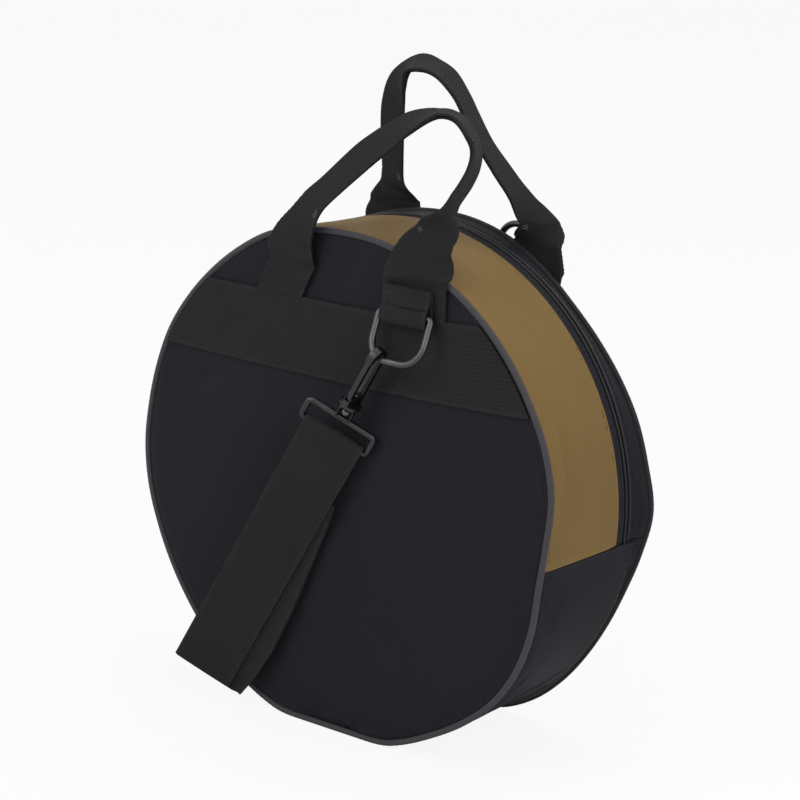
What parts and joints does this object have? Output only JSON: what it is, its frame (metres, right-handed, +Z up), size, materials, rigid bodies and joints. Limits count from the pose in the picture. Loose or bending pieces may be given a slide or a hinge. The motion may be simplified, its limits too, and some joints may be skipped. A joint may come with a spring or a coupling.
{
  "type": "tambourine case",
  "caption": "Round padded soft case for a tambourine, zipped round its edge, with webbing handles, rings and a clip-on shoulder strap.",
  "frame": {"origin": "centre of the flat patch that the case stands on", "axes": "+Z up, -Y out of the front panel, +X to the right seen from the front"},
  "size_m": [0.3072, 0.1364, 0.39],
  "materials": {
    "black_nylon": "woven matt",
    "gold_nylon": "woven, slight sheen",
    "grey_piping": "woven over cord",
    "foam": "closed-cell foam",
    "lining": "woven matt",
    "zip_tape": "woven matt",
    "zip_coil": "coil",
    "webbing": "ribbed webbing",
    "gunmetal": "dark plated wire",
    "dark_steel": "dark plated"
  },
  "bodies": {
    "case": {"front_cover": "black_nylon", "front_foam": "foam", "front_lining": "lining", "front_piping": "grey_piping", "front_seam_binding": "lining", "gold_gusset": "gold_nylon", "gold_gusset_foam": "foam", "gold_gusset_lining": "lining", "front_zip_strip": "black_nylon", "front_zip_tape": "zip_tape", "front_zip_coil": "zip_coil", "bottom_gusset": "black_nylon", "bottom_gusset_foam": "foam", "bottom_gusset_lining": "lining", "rear_lower_cover": "black_nylon", "rear_lower_foam": "foam", "rear_lower_lining": "lining", "rear_lower_piping": "grey_piping", "rear_lower_seam_binding": "lining", "zip_end_tab_left": "black_nylon", "zip_end_tab_right": "black_nylon", "front_band": "webbing", "front_handle_left_leg": "webbing", "front_handle_right_leg": "webbing", "front_ring_tab": "webbing"},
    "lid": {"lid_cover": "black_nylon", "lid_foam": "foam", "lid_lining": "lining", "lid_piping": "grey_piping", "lid_seam_binding": "lining", "rear_zip_strip": "black_nylon", "rear_zip_tape": "zip_tape", "rear_zip_coil": "zip_coil", "rear_band": "webbing", "rear_handle_left_leg": "webbing", "rear_handle_right_leg": "webbing", "rear_ring_tab": "webbing"},
    "front_handle": {"front_handle": "webbing"},
    "rear_handle": {"rear_handle": "webbing"},
    "front_ring": {"front_ring": "gunmetal"},
    "rear_ring": {"rear_ring": "gunmetal"},
    "hook": {"hook_body": "dark_steel", "hook_gate_pin": "dark_steel", "hook_gate_spring": "dark_steel", "hook_rivet": "gunmetal"},
    "gate": {"hook_gate": "dark_steel"},
    "swivel_eye": {"swivel_eye": "dark_steel"},
    "strap": {"shoulder_strap": "webbing"},
    "slider": {"zip_slider": "dark_steel"},
    "pull": {"zip_pull": "dark_steel"}
  },
  "joints": [
    {"name": "lid_fold", "type": "hinge", "parent": "case", "child": "lid", "pos_m": [0, 0.0518, 0.13102], "axis": [-1, 0, 0], "range_deg": [0, 105]},
    {"name": "front_handle_swing", "type": "hinge", "parent": "case", "child": "front_handle", "pos_m": [0, -0.0506, 0.277], "axis": [1, 0, 0], "range_deg": [0, 75]},
    {"name": "rear_handle_swing", "type": "hinge", "parent": "lid", "child": "rear_handle", "pos_m": [0, 0.0506, 0.2995], "axis": [-1, 0, 0], "range_deg": [-10, 38]},
    {"name": "front_ring_swing", "type": "hinge", "parent": "case", "child": "front_ring", "pos_m": [0.055, -0.05509, 0.2612], "axis": [-1, 0, 0], "range_deg": [0, 90]},
    {"name": "rear_ring_swing", "type": "hinge", "parent": "lid", "child": "rear_ring", "pos_m": [0.055, 0.0547, 0.2687], "axis": [-1, 0, 0], "range_deg": [0, 170]},
    {"name": "hook_swing", "type": "hinge", "parent": "front_ring", "child": "hook", "pos_m": [0.0497, -0.06052, 0.24776], "axis": [0, 1, 0], "range_deg": [-20, 9]},
    {"name": "gate_swing", "type": "hinge", "parent": "hook", "child": "gate", "pos_m": [0.02774, -0.06903, 0.21116], "axis": [-0.8572, 0, 0.515], "range_deg": [0, 12], "stiffness_Nm_per_rad": 0.02, "springref_deg": -11.46},
    {"name": "swivel_turn", "type": "hinge", "parent": "hook", "child": "swivel_eye", "pos_m": [0.02439, -0.06478, 0.20558], "axis": [0.515, 0, 0.8572], "range_deg": [-40, 1]},
    {"name": "strap_swing", "type": "hinge", "parent": "swivel_eye", "child": "strap", "pos_m": [0.0128, -0.06478, 0.1863], "axis": [-0.7948, -0.3746, 0.4775], "range_deg": [0, 80]},
    {"name": "zip_travel", "type": "hinge", "parent": "case", "child": "slider", "pos_m": [0, 0.0305, 0.1467], "axis": [0, 1, 0], "range_deg": [0, 187]},
    {"name": "zip_pull_swing", "type": "hinge", "parent": "slider", "child": "pull", "pos_m": [-0.15351, 0.0305, 0.13731], "axis": [0, 1, 0], "range_deg": [0, 150]}
  ]
}
